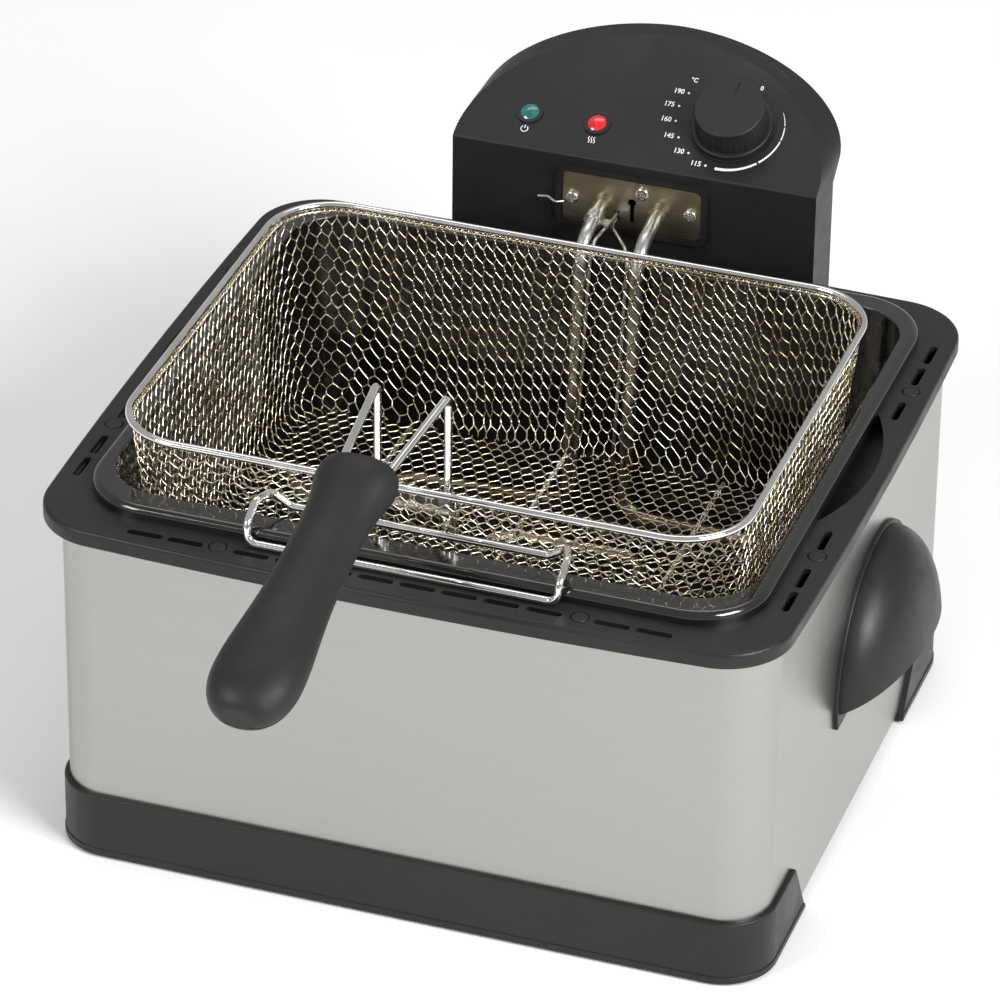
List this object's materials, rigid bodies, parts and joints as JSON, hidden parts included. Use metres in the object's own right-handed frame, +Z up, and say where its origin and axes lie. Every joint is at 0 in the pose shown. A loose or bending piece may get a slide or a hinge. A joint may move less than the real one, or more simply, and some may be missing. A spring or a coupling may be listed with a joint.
{
  "type": "deep fryer",
  "caption": "Rectangular electric deep fryer with a brushed steel housing, lift-out enamelled bowl, wire basket with a pull-off handle, and a lift-off control head carrying the heating element.",
  "frame": {"origin": "on the surface the fryer stands on, under the centre of its overall box, basket handle and control head included", "axes": "+X to the user's right, +Y to the back where the control head stands, +Z up"},
  "size_m": [0.4052, 0.5874, 0.2712],
  "materials": {
    "black_moulding": "fine moulded grain, satin",
    "brushed_housing_steel": "fine horizontal brushing",
    "painted_panel": "satin black powder coat",
    "galvanised_pan": "dull galvanised sheet",
    "rubber_black": "soft matte",
    "screw_steel": "bright zinc",
    "black_enamel": "glossy black enamel",
    "basket_wire": "tinned woven wire, slightly golden",
    "chrome_rod": "bright chrome",
    "grip_black": "soft matte grain",
    "plate_steel": "brushed, slightly warm",
    "element_steel": "drawn stainless tube",
    "lamp_green": "clear teal lens, unlit",
    "lamp_red": "clear red lens",
    "inner_plastic": "ivory insulating moulding",
    "knob_black": "satin moulding",
    "button_red": "moulded"
  },
  "bodies": {
    "housing": {"base_pan": "galvanised_pan", "front_skirt": "black_moulding", "rear_skirt": "black_moulding", "rubber_feet": "rubber_black", "base_screws": "screw_steel", "steel_wrap": "brushed_housing_steel", "rear_panel": "painted_panel", "head_guide_rails": "black_moulding", "top_frame": "black_moulding", "frame_screw_caps": "black_moulding", "side_handle_left": "black_moulding", "side_handle_right": "black_moulding", "side_handle_plate_left": "black_moulding", "side_handle_plate_right": "black_moulding", "side_handle_screws": "screw_steel"},
    "bowl": {"bowl": "black_enamel"},
    "control_head": {"head_front_shell": "black_moulding", "head_rear_cover": "black_moulding", "rear_cover_screws": "screw_steel", "cord_gland": "black_moulding", "element_plate": "plate_steel", "plate_screws": "screw_steel", "element_ferrules": "plate_steel", "heating_element": "element_steel", "thermostat_bulb": "element_steel", "cutout_bulb": "element_steel", "capillaries": "element_steel", "bulb_clips": "element_steel", "element_clamp": "element_steel", "wire_stub": "element_steel", "lamp_bezels": "black_moulding", "power_lamp_lens": "lamp_green", "ready_lamp_lens": "lamp_red", "lamp_bodies": "inner_plastic", "thermostat_body": "inner_plastic", "thermal_cutout": "inner_plastic", "terminal_block": "inner_plastic", "microswitch": "inner_plastic", "dial_ring": "knob_black"},
    "basket": {"basket_mesh": "basket_wire", "basket_rim_rod": "chrome_rod", "basket_bottom_rods": "chrome_rod", "basket_hanger": "chrome_rod", "handle_socket": "chrome_rod"},
    "basket_handle": {"handle_wires": "chrome_rod", "grip_upper": "grip_black", "grip_lower": "grip_black", "grip_screw": "screw_steel"},
    "knob": {"knob": "knob_black", "knob_shaft": "chrome_rod"},
    "reset_button": {"reset_button": "button_red"}
  },
  "joints": [
    {"name": "bowl_lift", "type": "slide", "parent": "housing", "child": "bowl", "axis": [0, 0, 1], "range_m": [0, 0.17]},
    {"name": "head_lift", "type": "slide", "parent": "bowl", "child": "control_head", "axis": [0, 0, 1], "range_m": [0, 0.16]},
    {"name": "basket_lift", "type": "slide", "parent": "control_head", "child": "basket", "axis": [0, 0, 1], "range_m": [0, 0.13]},
    {"name": "handle_pull", "type": "slide", "parent": "basket", "child": "basket_handle", "axis": [0, 0, 1], "range_m": [0, 0.05]},
    {"name": "knob_turn", "type": "hinge", "parent": "control_head", "child": "knob", "pos_m": [0.0445, 0.24045, 0.24632], "axis": [0, 0.4695, -0.8829], "range_deg": [0, 298]},
    {"name": "reset_press", "type": "slide", "parent": "control_head", "child": "reset_button", "axis": [0, -1, 0], "range_m": [0, 0.002], "stiffness_N_per_m": 400}
  ]
}
